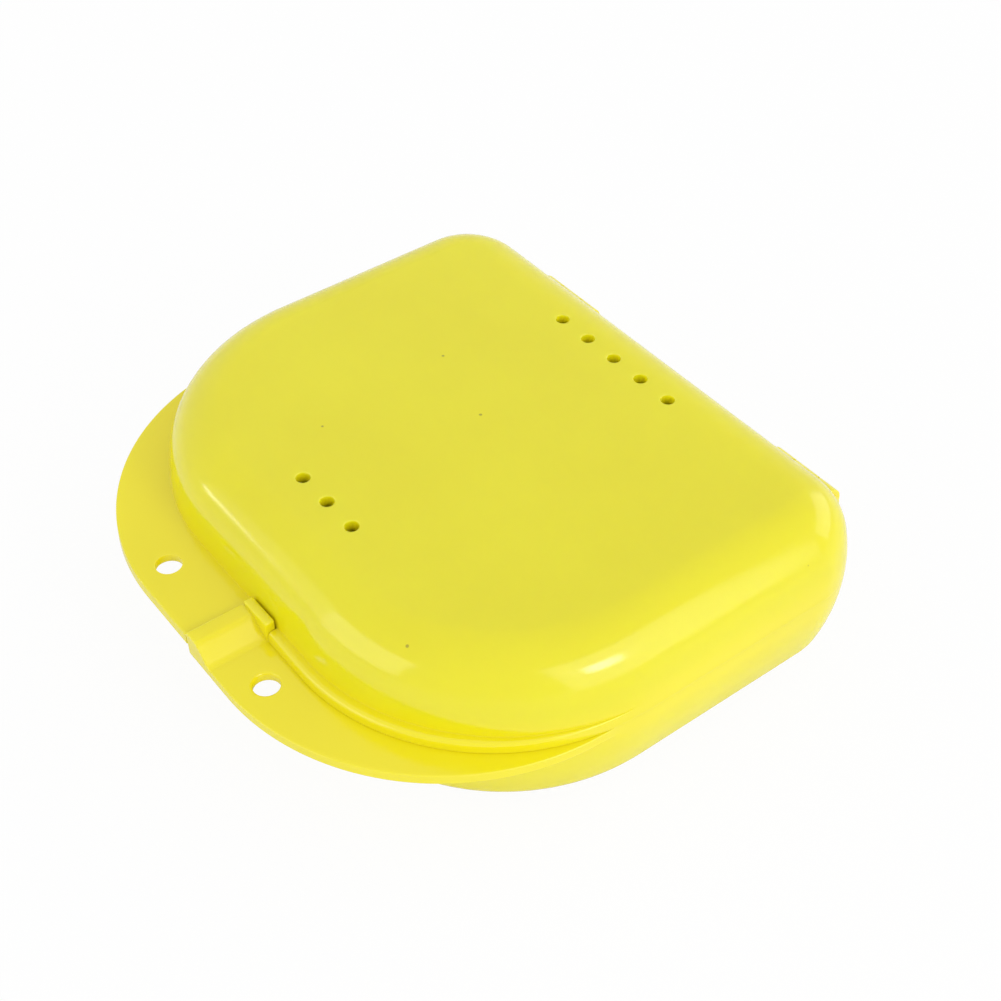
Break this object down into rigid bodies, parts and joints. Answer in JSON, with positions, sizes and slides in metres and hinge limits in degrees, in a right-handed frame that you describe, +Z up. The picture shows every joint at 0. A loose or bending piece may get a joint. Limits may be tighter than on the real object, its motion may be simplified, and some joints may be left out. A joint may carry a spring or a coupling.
{
  "type": "denture case",
  "caption": "D-shaped moulded plastic denture case: a tray with a vented hinged lid, and a crescent grip with lanyard holes at the front.",
  "frame": {"origin": "centre of the closed case's footprint, on the face it stands on", "axes": "+X along the hinge, +Y from the crescent grip at the front to the hinge at the back, +Z up through the lid"},
  "size_m": [0.082, 0.079, 0.0251],
  "materials": {
    "yellow_plastic": "glossy moulded polypropylene, lemon yellow",
    "pin_plastic": "satin moulded polypropylene, the same yellow"
  },
  "bodies": {
    "base": {"base_shell": "yellow_plastic", "hinge_pin_left": "pin_plastic", "hinge_pin_right": "pin_plastic"},
    "lid": {"lid_shell": "yellow_plastic"}
  },
  "joints": [
    {"name": "lid_hinge", "type": "hinge", "parent": "base", "child": "lid", "pos_m": [0, 0.03735, 0.0141], "axis": [-1, 0, 0], "range_deg": [0, 180]}
  ]
}
